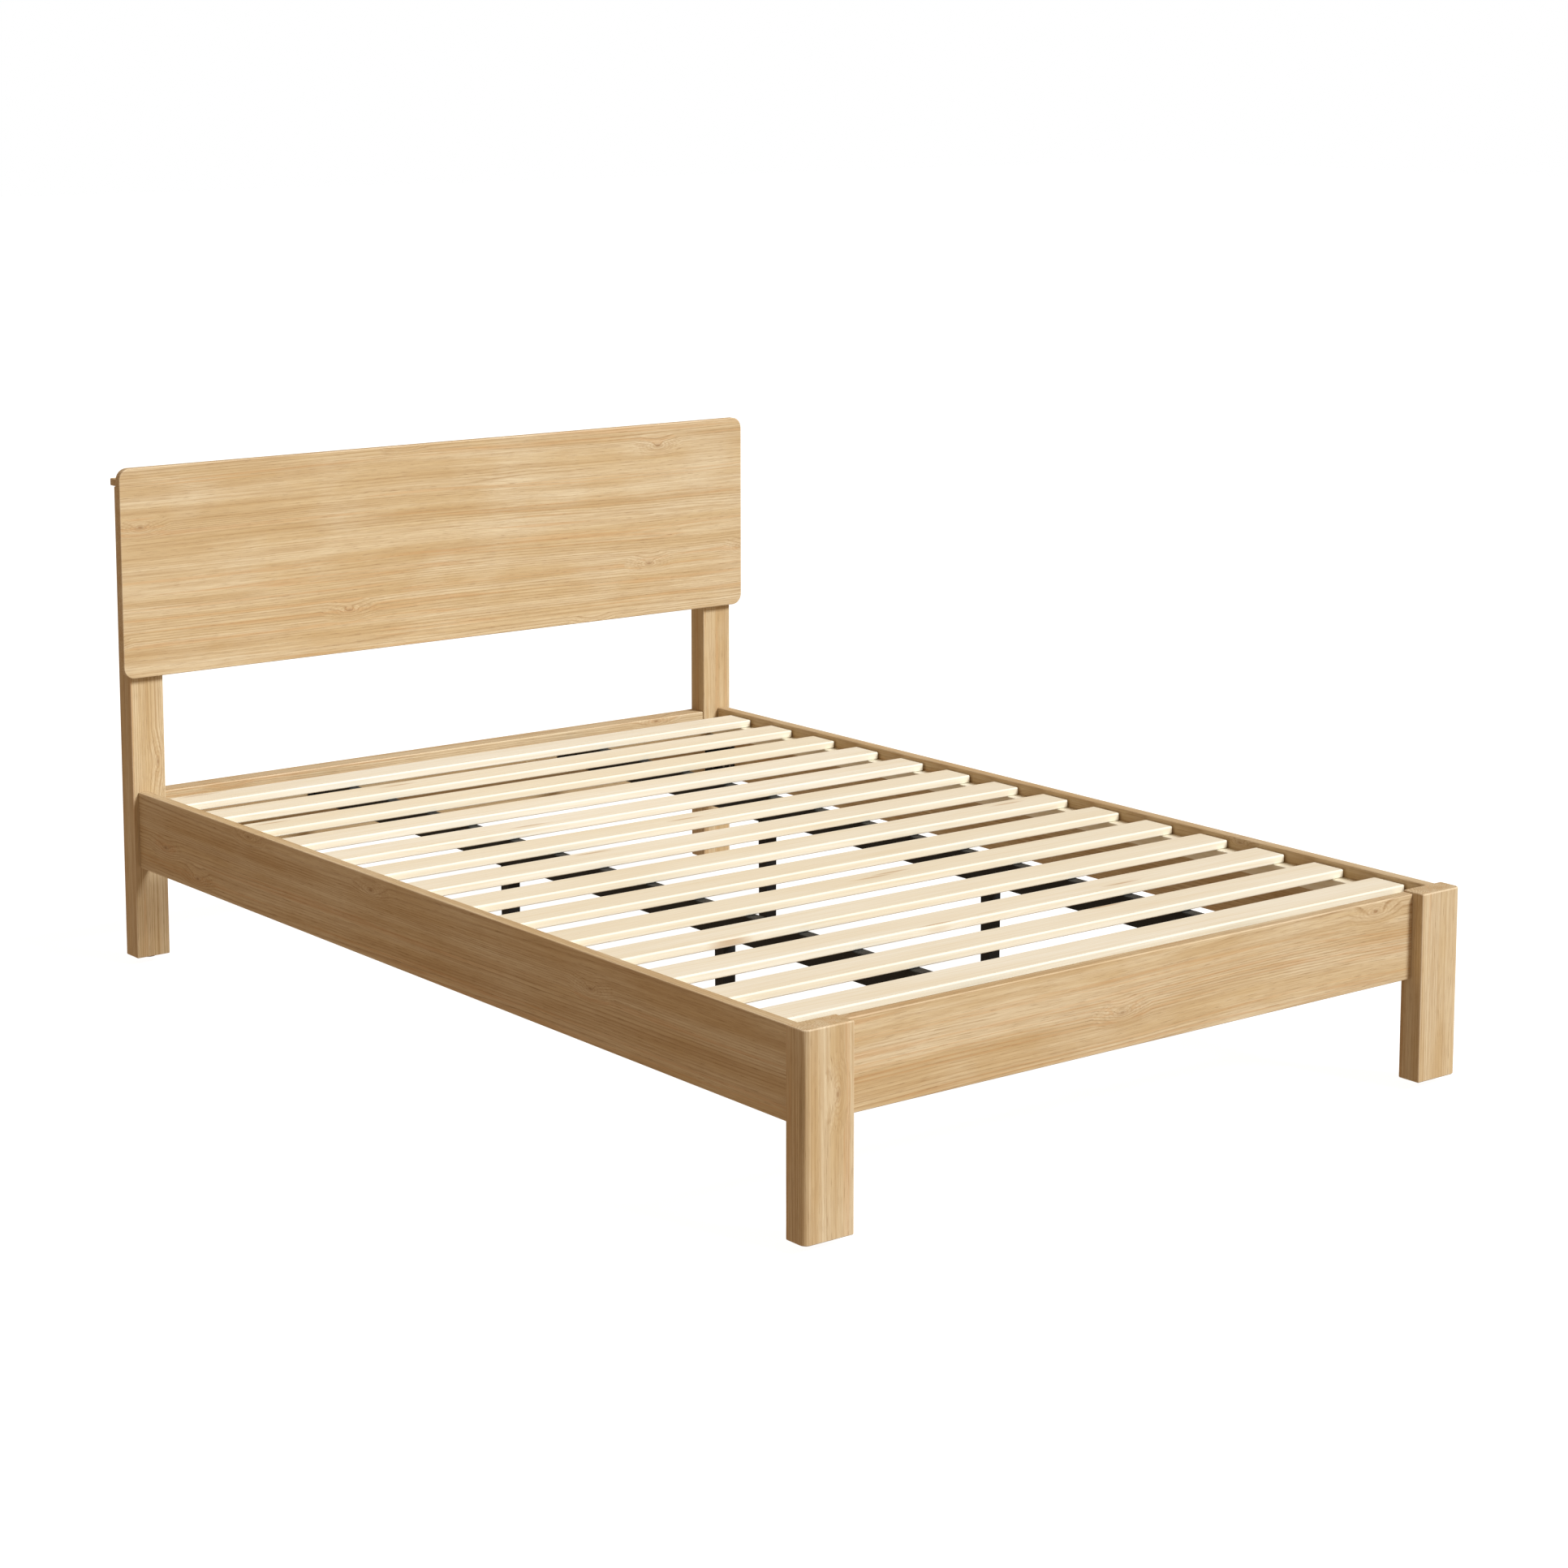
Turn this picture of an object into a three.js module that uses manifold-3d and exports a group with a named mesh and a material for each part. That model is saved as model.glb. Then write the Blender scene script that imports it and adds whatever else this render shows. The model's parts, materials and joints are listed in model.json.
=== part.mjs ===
// A double bed frame for a 1350 x 2000 mm mattress: a thin headboard panel on two posts,
// two stout foot legs, four rails, loose slats on side ledges and two steel centre beams.
// Millimetres, +Z up. X runs across the bed, Y from the foot (low) to the head (high).
import * as THREE from "three";
import { mergeVertices } from "three/addons/utils/BufferGeometryUtils.js";
import Module from "manifold-3d";

const wasm = await Module();
wasm.setup();

// ---- Driving dimensions ----
const GAP = 0.3; // left between two pieces that touch
const HOLE_CLEARANCE = 0.4; // on the radius, round bolts, screws and stems
const OVERLAP = 1; // how far a cut runs past a face, and a joined block into its neighbour
const ROUND_SEGMENTS = 24;
const CORNER_SEGMENTS = 8; // in a quarter turn

const mattress = { width: 1350, length: 2000 };
const clearance = { side: 3, end: 5 }; // round the mattress
const rail = { thickness: 22, height: 147, underside: 180 };
const leg = { width: 94, depth: 45, overhang: 7, rise: 3, cornerRadius: 12 };
const post = { width: 69, depth: 45, overhang: 10.5 };
const panel = { thickness: 16, height: 400, underside: 550, overhang: 20, cornerRadius: 22 };
const cap = { depth: 60, thickness: 14, drop: 25 }; // its top lies this far below the panel's
const headRail = { drop: 5, setback: 3 }; // below the side rails' tops, behind the posts' fronts
const footTenon = { thickness: 10, length: 25, shoulder: 20 };
const headTenon = { thickness: 16, length: 12, shoulder: 20 };
const slat = { count: 14, width: 70, thickness: 15, endGap: 51.5, recess: 7.5, endClearance: 3 };
const ledge = { width: 28, height: 28, endClearance: 2 };
const beam = { width: 25, height: 50, wall: 1.5, fromCentre: 297, endClearance: 1 };
const centreLeg = { side: 25, wall: 1.5, fromFootLeg: 690, spacing: 652, bottom: 18 };
const legPlate = { length: 60, thickness: 3 };
const endPlug = { thickness: 5 }; // welded into the lower end of each centre leg
const foot = { radius: 16, padHeight: 10, neckRadius: 9, rimHeight: 4, stemRadius: 4, stemTop: 46 };
const glide = { radius: 14, thickness: 3 };
const bracket = { width: 34, length: 60, thickness: 3, rise: 7, ledgeGap: 5 };
const bolt = { shankRadius: 4, headRadius: 7, headHeight: 4.5, grip: 14, inset: 19 };
const saddle = { plateWidth: 64, plateDrop: 7, thickness: 2.5, length: 40, cheekDrop: 12 };
const screw = { shankRadius: 2.5, headRadius: 5.5, headHeight: 3.5, bite: 10, sunk: 0.5 };
const screwInset = { lower: 75, upper: 85 }; // from the panel's lower and upper edges

// ---- Places worked out from them ----
const railInner = mattress.width / 2 + clearance.side;
const railOuter = railInner + rail.thickness;
const railTop = rail.underside + rail.height;
const legOuter = railOuter + leg.overhang;
const legInner = legOuter - leg.width;
const legRear = leg.depth;
const postOuter = railOuter + post.overhang;
const postInner = postOuter - post.width;
const postFront = legRear + mattress.length + 2 * clearance.end;
const postRear = postFront + post.depth;
const panelTop = panel.underside + panel.height;
const capTop = panelTop - cap.drop;
const postTop = capTop - cap.thickness - GAP;
const overallLength = postFront + Math.max(cap.depth, post.depth);
const slatTop = railTop - slat.recess;
const slatUnderside = slatTop - slat.thickness;
const beamTop = slatUnderside - GAP;
const beamUnderside = beamTop - beam.height;
const woodBottom = glide.thickness + GAP;
const footRailFront = legRear - rail.thickness;
const headRailFront = postFront + headRail.setback;
const ledgeTop = slatUnderside - GAP;
const ledgeUnderside = ledgeTop - ledge.height;
const bracketHeights = [rail.underside + bracket.rise, ledgeUnderside - bracket.ledgeGap];
const boltHeights = [bracketHeights[0] + bolt.inset, bracketHeights[1] - bolt.inset];
const bracketPlaneX = railInner - GAP; // the face of each corner bracket that meets the rail
const boltX = bracketPlaneX - bracket.width / 2;
const screwX = (postInner + postOuter) / 2;
const screwHeights = {
  lower: panel.underside + screwInset.lower,
  upper: panelTop - screwInset.upper,
};
const slatPitch = (postFront - legRear - 2 * slat.endGap - slat.width) / (slat.count - 1);

// ---- Materials ----
const finish = (name, color, roughness, metalness) =>
  new THREE.MeshStandardMaterial({ name, color, roughness, metalness });
const oak = () => finish("oak", 0xc99f68, 0.55, 0);
const pine = () => finish("pine", 0xecdcb9, 0.65, 0);
const blackSteel = () => finish("black_steel", 0x1b1c1e, 0.45, 0.6);
const zincSteel = () => finish("zinc_steel", 0xb4b6b8, 0.35, 0.9);
const blackPlastic = () => finish("black_plastic", 0x202022, 0.6, 0);

// ---- Solids ----
function solidOf(geometry) {
  const plain = geometry.index ? geometry.toNonIndexed() : geometry.clone();
  plain.deleteAttribute("normal");
  plain.deleteAttribute("uv");
  const merged = mergeVertices(plain, 1e-4);
  return new wasm.Manifold(
    new wasm.Mesh({
      numProp: 3,
      vertProperties: merged.attributes.position.array,
      triVerts: new Uint32Array(merged.index.array),
    }),
  );
}

function geometryOf(solid) {
  const mesh = solid.getMesh();
  const geometry = new THREE.BufferGeometry();
  geometry.setAttribute("position", new THREE.BufferAttribute(mesh.vertProperties, mesh.numProp));
  geometry.setIndex(new THREE.BufferAttribute(mesh.triVerts, 1));
  geometry.computeVertexNormals();
  return geometry;
}

// A block from its low to its high value along each axis.
function block([x0, x1], [y0, y1], [z0, z1]) {
  const geometry = new THREE.BoxGeometry(x1 - x0, y1 - y0, z1 - z0);
  return solidOf(geometry.translate((x0 + x1) / 2, (y0 + y1) / 2, (z0 + z1) / 2));
}

// A round bar along Y, from its low to its high end.
function barAlongY(radius, x, [y0, y1], z) {
  const geometry = new THREE.CylinderGeometry(radius, radius, y1 - y0, ROUND_SEGMENTS);
  return solidOf(geometry.translate(x, (y0 + y1) / 2, z));
}

// A round solid about a vertical axis, from (radius, height) pairs that start and end on it.
function turned(profile, x, y) {
  const points = profile.map(([radius, height]) => new THREE.Vector2(radius, height));
  const geometry = new THREE.LatheGeometry(points, ROUND_SEGMENTS);
  return solidOf(geometry.rotateX(Math.PI / 2).translate(x, y, 0));
}

const uprightBar = (radius, x, y, [z0, z1]) =>
  turned([[0, z0], [radius, z0], [radius, z1], [0, z1]], x, y);

// The span between two distances from the bed's centre line, on one side of it.
const across = (side, near, far) => [side * near, side * far].sort((a, b) => a - b);
const around = (centre, size) => [centre - size / 2, centre + size / 2];
const grown = ([low, high], by) => [low - by, high + by];

const bed = new THREE.Group();
bed.position.y = -overallLength / 2;

function addPart(name, solid, material) {
  const mesh = new THREE.Mesh(geometryOf(solid), material);
  mesh.name = name;
  bed.add(mesh);
}

// ---- Headboard ----
function headboardPanel() {
  const halfWidth = postOuter + panel.overhang;
  const r = panel.cornerRadius;
  const outline = new THREE.Shape();
  outline.absarc(halfWidth - r, panelTop - r, r, 0, Math.PI / 2);
  outline.absarc(r - halfWidth, panelTop - r, r, Math.PI / 2, Math.PI);
  outline.absarc(r - halfWidth, panel.underside + r, r, Math.PI, 1.5 * Math.PI);
  outline.absarc(halfWidth - r, panel.underside + r, r, 1.5 * Math.PI, 2 * Math.PI);
  const geometry = new THREE.ExtrudeGeometry(outline, {
    depth: panel.thickness - GAP,
    curveSegments: CORNER_SEGMENTS,
    bevelEnabled: false,
  });
  geometry.rotateX(Math.PI / 2).translate(0, postFront - GAP, 0);
  let solid = solidOf(geometry);
  for (const side of [-1, 1]) {
    for (const z of Object.values(screwHeights)) solid = solid.subtract(screwHole(side * screwX, z));
  }
  return solid;
}

const headboardCap = () =>
  block([-postOuter, postOuter], [postFront, postFront + cap.depth], [capTop - cap.thickness, capTop]);

// The screws that hold the panel go in from behind, with their heads sunk in the posts.
const screwHeadRear = postRear - screw.sunk;
const screwHeadFront = screwHeadRear - screw.headHeight;
const screwTip = postFront - screw.bite;

function headboardScrew(x, z) {
  const shank = barAlongY(screw.shankRadius, x, [screwTip, screwHeadRear], z);
  return shank.add(barAlongY(screw.headRadius, x, [screwHeadFront, screwHeadRear], z));
}

function screwHole(x, z) {
  const bore = barAlongY(screw.shankRadius + HOLE_CLEARANCE, x, [screwTip - OVERLAP, postRear + OVERLAP], z);
  const seat = [screwHeadFront - GAP, postRear + OVERLAP];
  return bore.add(barAlongY(screw.headRadius + HOLE_CLEARANCE, x, seat, z));
}

function headPost(side) {
  let solid = block(across(side, postInner, postOuter), [postFront, postRear], [woodBottom, postTop]);
  solid = solid.subtract(tenon(headRailBody, headTenon, side, postInner, GAP));
  for (const z of Object.values(screwHeights)) solid = solid.subtract(screwHole(side * screwX, z));
  for (const z of boltHeights) solid = solid.subtract(boltHole(side * boltX, postFront, -1, z));
  return solid;
}

// ---- Rails, with stub tenons at both ends of the head and foot rails ----
const headRailBody = {
  y: [headRailFront, postRear],
  z: [rail.underside, railTop - headRail.drop],
};
const footRailBody = { y: [footRailFront, legRear], z: [rail.underside, railTop] };

// The tenon that stands out of a rail's shoulder, or with a fit its mortise.
function tenon(body, size, side, shoulderX, fit) {
  const [low, high] = body.z;
  return block(
    across(side, shoulderX - OVERLAP, shoulderX + size.length + fit),
    grown(around((body.y[0] + body.y[1]) / 2, size.thickness), fit),
    grown([low + size.shoulder, high - size.shoulder], fit),
  );
}

function crossRail(body, size, shoulderX) {
  const halfLength = shoulderX - GAP;
  let solid = block([-halfLength, halfLength], body.y, body.z);
  for (const side of [-1, 1]) solid = solid.add(tenon(body, size, side, shoulderX, 0));
  return solid;
}

const sideRail = (side) =>
  block(across(side, railInner, railOuter), [legRear + GAP, postFront - GAP], [rail.underside, railTop]);

function slatLedge(side) {
  const outer = railInner - GAP;
  return block(
    across(side, outer - ledge.width, outer),
    grown([legRear, postFront], -ledge.endClearance),
    [ledgeUnderside, ledgeTop],
  );
}

// ---- Foot legs: the outer front corner is well rounded ----
function footLeg(side) {
  const r = leg.cornerRadius;
  const outline = new THREE.Shape();
  outline.moveTo(legInner, 0);
  outline.lineTo(legOuter - r, 0);
  outline.absarc(legOuter - r, r, r, -Math.PI / 2, 0);
  outline.lineTo(legOuter, legRear);
  outline.lineTo(legInner, legRear);
  const geometry = new THREE.ExtrudeGeometry(outline, {
    depth: railTop + leg.rise - woodBottom,
    curveSegments: CORNER_SEGMENTS,
    bevelEnabled: false,
  });
  let solid = solidOf(geometry.translate(0, 0, woodBottom));
  if (side < 0) solid = solid.mirror([1, 0, 0]);
  solid = solid.subtract(tenon(footRailBody, footTenon, side, legInner, GAP));
  for (const z of boltHeights) solid = solid.subtract(boltHole(side * boltX, legRear, 1, z));
  return solid;
}

// ---- Corner brackets and their bolts. facing is +1 where they face the head, -1 the foot ----
const alongY = (from, facing, near, far) =>
  [from + facing * near, from + facing * far].sort((a, b) => a - b);

function cornerBracket(side, faceY, facing) {
  const onLeg = block(
    across(side, bracketPlaneX - bracket.width, bracketPlaneX),
    alongY(faceY, facing, GAP, GAP + bracket.thickness),
    bracketHeights,
  );
  const onRail = block(
    across(side, bracketPlaneX - bracket.thickness, bracketPlaneX),
    alongY(faceY, facing, GAP, GAP + bracket.length),
    bracketHeights,
  );
  let solid = onLeg.add(onRail);
  for (const height of boltHeights) solid = solid.subtract(boltHole(side * boltX, faceY, facing, height));
  return solid;
}

function cornerBolt(x, faceY, facing, z) {
  const seat = 2 * GAP + bracket.thickness;
  const shank = barAlongY(bolt.shankRadius, x, alongY(faceY, facing, -bolt.grip, seat + OVERLAP), z);
  const head = alongY(faceY, facing, seat, seat + bolt.headHeight);
  return shank.add(barAlongY(bolt.headRadius, x, head, z));
}

const boltHole = (x, faceY, facing, z) =>
  barAlongY(
    bolt.shankRadius + HOLE_CLEARANCE,
    x,
    alongY(faceY, facing, -bolt.grip - OVERLAP, GAP + bracket.thickness + OVERLAP),
    z,
  );

// ---- Slats ----
function slatAt(index) {
  const halfLength = railInner - slat.endClearance;
  const middle = (legRear + postFront) / 2 + ((slat.count - 1) / 2 - index) * slatPitch;
  return block([-halfLength, halfLength], around(middle, slat.width), [slatUnderside, slatTop]);
}

// ---- Steel centre beams, the saddles that carry their ends, and their legs ----
const beamFoot = legRear + GAP + saddle.thickness + beam.endClearance;
const beamHead = headRailFront - GAP - saddle.thickness - beam.endClearance;

function centreBeam(side) {
  const x = side * beam.fromCentre;
  const z = [beamUnderside, beamTop];
  const bore = block(
    grown(around(x, beam.width), -beam.wall),
    [beamFoot - OVERLAP, beamHead + OVERLAP],
    grown(z, -beam.wall),
  );
  return block(around(x, beam.width), [beamFoot, beamHead], z).subtract(bore);
}

function beamSaddle(side, faceY, facing) {
  const x = side * beam.fromCentre;
  const t = saddle.thickness;
  const inside = beam.width + 2 * GAP;
  const floorTop = beamUnderside - GAP;
  const cheekTop = beamTop - saddle.cheekDrop;
  const reach = alongY(faceY, facing, GAP, GAP + saddle.length);
  const plate = block(
    around(x, saddle.plateWidth),
    alongY(faceY, facing, GAP, GAP + t),
    [floorTop - t - saddle.plateDrop, beamTop],
  );
  const trough = block(around(x, inside + 2 * t), reach, [floorTop - t, cheekTop]);
  const hollow = block(
    around(x, inside),
    alongY(faceY, facing, GAP + t, GAP + saddle.length + OVERLAP),
    [floorTop, cheekTop + OVERLAP],
  );
  return plate.add(trough.subtract(hollow));
}

const centreLegY = (row) => legRear + centreLeg.fromFootLeg + row * centreLeg.spacing;

function supportLeg(side, row) {
  const x = side * beam.fromCentre;
  const y = centreLegY(row);
  const top = beamUnderside - GAP;
  const inside = centreLeg.side - 2 * centreLeg.wall;
  const tube = block(around(x, centreLeg.side), around(y, centreLeg.side), [centreLeg.bottom, top]);
  const bore = block(
    around(x, inside),
    around(y, inside),
    [centreLeg.bottom + endPlug.thickness, top - legPlate.thickness],
  );
  const plate = block(
    around(x, beam.width),
    around(y, legPlate.length),
    [top - legPlate.thickness, top],
  );
  const stemBore = uprightBar(
    foot.stemRadius + HOLE_CLEARANCE,
    x,
    y,
    [centreLeg.bottom - OVERLAP, centreLeg.bottom + endPlug.thickness + OVERLAP],
  );
  return tube.add(plate).subtract(bore).subtract(stemBore);
}

// A levelling foot: a round pad on a threaded stem that screws into the leg's end plug.
const levellingFoot = (side, row) =>
  turned(
    [
      [0, 0],
      [foot.radius, 0],
      [foot.radius, foot.rimHeight],
      [foot.neckRadius, foot.padHeight],
      [foot.stemRadius, foot.padHeight],
      [foot.stemRadius, foot.stemTop],
      [0, foot.stemTop],
    ],
    side * beam.fromCentre,
    centreLegY(row),
  );

// ---- Floor glides under the four wooden uprights ----
const floorGlide = (x, y) => uprightBar(glide.radius, x, y, [0, glide.thickness]);

// ---- The assembly ----
addPart("headboard_panel", headboardPanel(), oak());
addPart("headboard_cap_rail", headboardCap(), oak());
addPart("head_rail", crossRail(headRailBody, headTenon, postInner), oak());
addPart("foot_rail", crossRail(footRailBody, footTenon, legInner), oak());

for (const [hand, side] of [["left", -1], ["right", 1]]) {
  addPart(`head_post_${hand}`, headPost(side), oak());
  addPart(`foot_leg_${hand}`, footLeg(side), oak());
  addPart(`side_rail_${hand}`, sideRail(side), oak());
  addPart(`slat_ledge_${hand}`, slatLedge(side), pine());
  addPart(`centre_beam_${hand}`, centreBeam(side), blackSteel());

  const headGlide = floorGlide((side * (postInner + postOuter)) / 2, (postFront + postRear) / 2);
  addPart(`floor_glide_head_${hand}`, headGlide, blackPlastic());
  const footGlide = floorGlide((side * (legInner + legOuter)) / 2, legRear / 2);
  addPart(`floor_glide_foot_${hand}`, footGlide, blackPlastic());

  for (const [level, z] of Object.entries(screwHeights)) {
    addPart(`headboard_screw_${hand}_${level}`, headboardScrew(side * screwX, z), zincSteel());
  }

  for (const [end, faceY, facing] of [["foot", legRear, 1], ["head", postFront, -1]]) {
    addPart(`corner_bracket_${end}_${hand}`, cornerBracket(side, faceY, facing), blackSteel());
    const saddleY = end === "foot" ? legRear : headRailFront;
    addPart(`beam_saddle_${end}_${hand}`, beamSaddle(side, saddleY, facing), blackSteel());
    boltHeights.forEach((z, index) => {
      const level = ["lower", "upper"][index];
      const solid = cornerBolt(side * boltX, faceY, facing, z);
      addPart(`corner_bolt_${end}_${hand}_${level}`, solid, zincSteel());
    });
  }

  for (const [place, row] of [["foot", 0], ["head", 1]]) {
    addPart(`centre_leg_${place}_${hand}`, supportLeg(side, row), blackSteel());
    addPart(`levelling_foot_${place}_${hand}`, levellingFoot(side, row), blackPlastic());
  }
}

for (let index = 0; index < slat.count; index += 1) {
  addPart(`slat_${String(index + 1).padStart(2, "0")}`, slatAt(index), pine());
}

const group = new THREE.Group();
group.add(bed);
export default group;
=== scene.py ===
"""The finished looks of a double bed frame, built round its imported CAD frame.
Metres, +Z up, foot end at low Y."""
import json
import math

import bmesh
import bpy
from mathutils import Matrix, Vector


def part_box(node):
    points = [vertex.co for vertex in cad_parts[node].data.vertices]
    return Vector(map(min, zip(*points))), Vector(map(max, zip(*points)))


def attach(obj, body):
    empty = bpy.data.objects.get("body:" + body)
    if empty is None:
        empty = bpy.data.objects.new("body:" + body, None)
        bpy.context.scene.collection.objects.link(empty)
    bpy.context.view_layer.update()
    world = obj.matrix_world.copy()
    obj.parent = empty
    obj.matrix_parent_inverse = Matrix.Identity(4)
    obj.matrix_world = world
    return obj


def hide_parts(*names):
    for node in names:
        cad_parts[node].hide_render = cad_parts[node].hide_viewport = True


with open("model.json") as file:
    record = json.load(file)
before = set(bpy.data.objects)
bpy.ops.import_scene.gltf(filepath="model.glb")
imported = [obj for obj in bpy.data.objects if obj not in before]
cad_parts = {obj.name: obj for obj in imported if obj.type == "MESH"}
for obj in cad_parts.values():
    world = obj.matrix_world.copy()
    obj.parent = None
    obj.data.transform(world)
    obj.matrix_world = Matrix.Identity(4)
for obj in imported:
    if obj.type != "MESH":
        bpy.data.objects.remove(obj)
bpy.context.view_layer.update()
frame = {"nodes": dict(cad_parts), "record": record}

# ---- Studio ----
# A seamless pale floor, one broad soft key from high on the foot's right side, and a weak warm fill
# all round. None of it is part of the bed.
EYE = (-3.765, -4.929, 1.763)
LOOK_DOWN = math.radians(8.39)
LOOK_RIGHT = math.radians(37.96)
LENS_MM = 80.8
LENS_SHIFT = -0.15
CLIP_END = 100
KEY_STRENGTH = 3.4
KEY_SPREAD = math.radians(18)
FILL_COLOUR = (1.0, 0.72, 0.50, 1.0)
FILL_STRENGTH = 0.41
WHITE = (1.0, 1.0, 1.0, 1.0)
FLOOR_GREY = (0.30, 0.30, 0.30, 1.0)
FLOOR_GLOW = 0.94
FLOOR_SIZE = 60.0
FLOOR_DROP = 0.0125  # clear of a levelling foot that is screwed right down
KEY_DIRECTION = Vector((0.36, -0.80, 0.68))  # from the bed towards the light

camera = bpy.data.objects.new("camera", bpy.data.cameras.new("camera"))
camera.location = EYE
camera.rotation_euler = (math.pi / 2 - LOOK_DOWN, 0, -LOOK_RIGHT)
camera.data.lens = LENS_MM
camera.data.shift_y = LENS_SHIFT
camera.data.clip_end = CLIP_END
bpy.context.scene.collection.objects.link(camera)
bpy.context.scene.camera = camera
bpy.context.scene.view_settings.view_transform = "Standard"

key = bpy.data.objects.new("key_light", bpy.data.lights.new("key_light", "SUN"))
key.data.energy = KEY_STRENGTH
key.data.angle = KEY_SPREAD
key.rotation_euler = KEY_DIRECTION.to_track_quat("Z", "Y").to_euler()
bpy.context.scene.collection.objects.link(key)


def put(tree, kind, inputs, **settings):
    """Adds a shader node. An input that is a socket is linked, and any other value is set on it."""
    made = tree.nodes.new("ShaderNode" + kind)
    for name, value in settings.items():
        setattr(made, name, value)
    for name, value in inputs.items():
        if isinstance(value, bpy.types.NodeSocket):
            tree.links.new(value, made.inputs[name])
        else:
            made.inputs[name].default_value = value
    return made


def tint(red, green, blue):
    """A colour given in the usual 0 to 255 display values, as the linear colour that shaders use."""
    shares = (red / 255, green / 255, blue / 255)
    return (*(v / 12.92 if v <= 0.04045 else ((v + 0.055) / 1.055) ** 2.4 for v in shares), 1.0)


world = bpy.data.worlds.new("studio")
world.use_nodes = True
bpy.context.scene.world = world
sky = world.node_tree
sky.nodes.clear()
fill = put(sky, "Background", {"Color": FILL_COLOUR, "Strength": FILL_STRENGTH})
backdrop = put(sky, "Background", {"Color": WHITE, "Strength": 1.0})
seen = put(sky, "LightPath", {})
by_ray = {0: seen.outputs["Is Camera Ray"], 1: fill.outputs[0], 2: backdrop.outputs[0]}
either = put(sky, "MixShader", by_ray)
put(sky, "OutputWorld", {"Surface": either.outputs[0]})

floor_shape = bmesh.new()
bmesh.ops.create_grid(floor_shape, x_segments=1, y_segments=1, size=FLOOR_SIZE / 2)
floor = bpy.data.objects.new("floor", bpy.data.meshes.new("floor"))
floor_shape.to_mesh(floor.data)
floor_shape.free()
bpy.context.scene.collection.objects.link(floor)
floor_paint = bpy.data.materials.new("studio_floor")
floor_paint.use_nodes = True
floor_shader = floor_paint.node_tree.nodes["Principled BSDF"]
floor_shader.inputs["Base Color"].default_value = FLOOR_GREY
floor_shader.inputs["Roughness"].default_value = 0.9
floor_shader.inputs["Specular IOR Level"].default_value = 0.0
floor_shader.inputs["Emission Color"].default_value = WHITE
floor_shader.inputs["Emission Strength"].default_value = FLOOR_GLOW
floor.data.materials.append(floor_paint)
floor.location.z = -FLOOR_DROP
floor.visible_diffuse = False
floor.visible_glossy = False

# ---- Foot legs ----
# Two stout posts of pale oak, planed square with one well rounded outer corner and eased arrises.
# Each is morticed for the foot rail and drilled from behind for the corner bracket's bolts.
LEG_EASING = 0.0025
JOIN = 1e-5  # vertices closer than this are one
SHARP = math.radians(35)
ARRIS = "arris"  # the face layer that marks a rounded edge
OAK_KNOTS = (2.1, 5.2)  # cells a metre, along and across the grain, with one knot in each
OAK_RINGS = (140.0, 185.0)  # growth rings a metre, across the board's two cross directions
KNOT_RINGS = 330.0  # radians of ring a knot cell
SWIRL = 0.011  # how far the grain moves aside at a knot
GRAIN_TURNS = {"x": (0, 0, 0), "y": (0, 0, math.pi / 2), "z": (0, math.pi / 2, 0)}


def calc(tree, operation, *values):
    """One step of arithmetic on sockets and numbers."""
    inputs = dict(enumerate(values))
    return put(tree, "Math", inputs, operation=operation).outputs[0]


def ramp(tree, factor, stops):
    """A colour ramp from (place, colour) pairs."""
    made = put(tree, "ValToRGB", {"Fac": factor})
    while len(made.color_ramp.elements) < len(stops):
        made.color_ramp.elements.new(0.5)
    for element, (place, colour) in zip(made.color_ramp.elements, stops):
        element.position = place
        element.color = colour
    return made.outputs["Color"]


def level(tree, factor, stops):
    """A grey ramp from (place, value) pairs, as a number."""
    greys = [(place, (value, value, value, 1.0)) for place, value in stops]
    return put(tree, "RGBToBW", {"Color": ramp(tree, factor, greys)}).outputs[0]


def mixed(tree, factor, first, second, blend="MIX"):
    """Two colours mixed or blended by a factor."""
    mix = put(tree, "Mix", {}, data_type="RGBA", blend_type=blend)
    for index, value in ((0, factor), (6, first), (7, second)):
        if isinstance(value, bpy.types.NodeSocket):
            tree.links.new(value, mix.inputs[index])
        else:
            mix.inputs[index].default_value = value
    return mix.outputs[2]


def along_grain(tree, place, along, across):
    """Coordinates drawn out along the grain, which runs along their X."""
    return put(tree, "Mapping", {"Vector": place, "Scale": (along, across, across)}).outputs[0]


def streaks(tree, place, along, across, detail=2.0, roughness=0.5):
    """Noise drawn out along the grain, at so many features a metre along and across it."""
    vector = along_grain(tree, place, along, across)
    inputs = {"Vector": vector, "Scale": 1.0, "Detail": detail, "Roughness": roughness}
    return put(tree, "TexNoise", inputs).outputs["Fac"]


def bent(tree, place, wander, swirl):
    """Moves the grain sideways in long slow waves, and aside round the knots."""
    moved = place
    for (along, across), reach in (((0.9, 2.4), wander), ((5.0, 11.0), wander * 0.09)):
        inputs = {"Vector": along_grain(tree, place, along, across), "Scale": 1.0, "Detail": 1.0}
        noise = put(tree, "TexNoise", inputs)
        step = {0: noise.outputs["Color"], 1: (0.0, reach, reach), 2: moved}
        moved = put(tree, "VectorMath", step, operation="MULTIPLY_ADD").outputs[0]
    aside = calc(tree, "MULTIPLY", swirl, SWIRL)
    shove = put(tree, "CombineXYZ", {"Y": aside, "Z": aside}).outputs[0]
    return put(tree, "VectorMath", {0: moved, 1: shove}, operation="ADD").outputs[0]


def knots(tree, face, along, across):
    """How far the nearest knot is, in cells of so many a metre on a board's broad face."""
    cells = {"Vector": along_grain(tree, face, along, across), "Scale": 1.0, "Randomness": 1.0}
    return put(tree, "TexVoronoi", cells, voronoi_dimensions="2D").outputs["Distance"]


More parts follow.
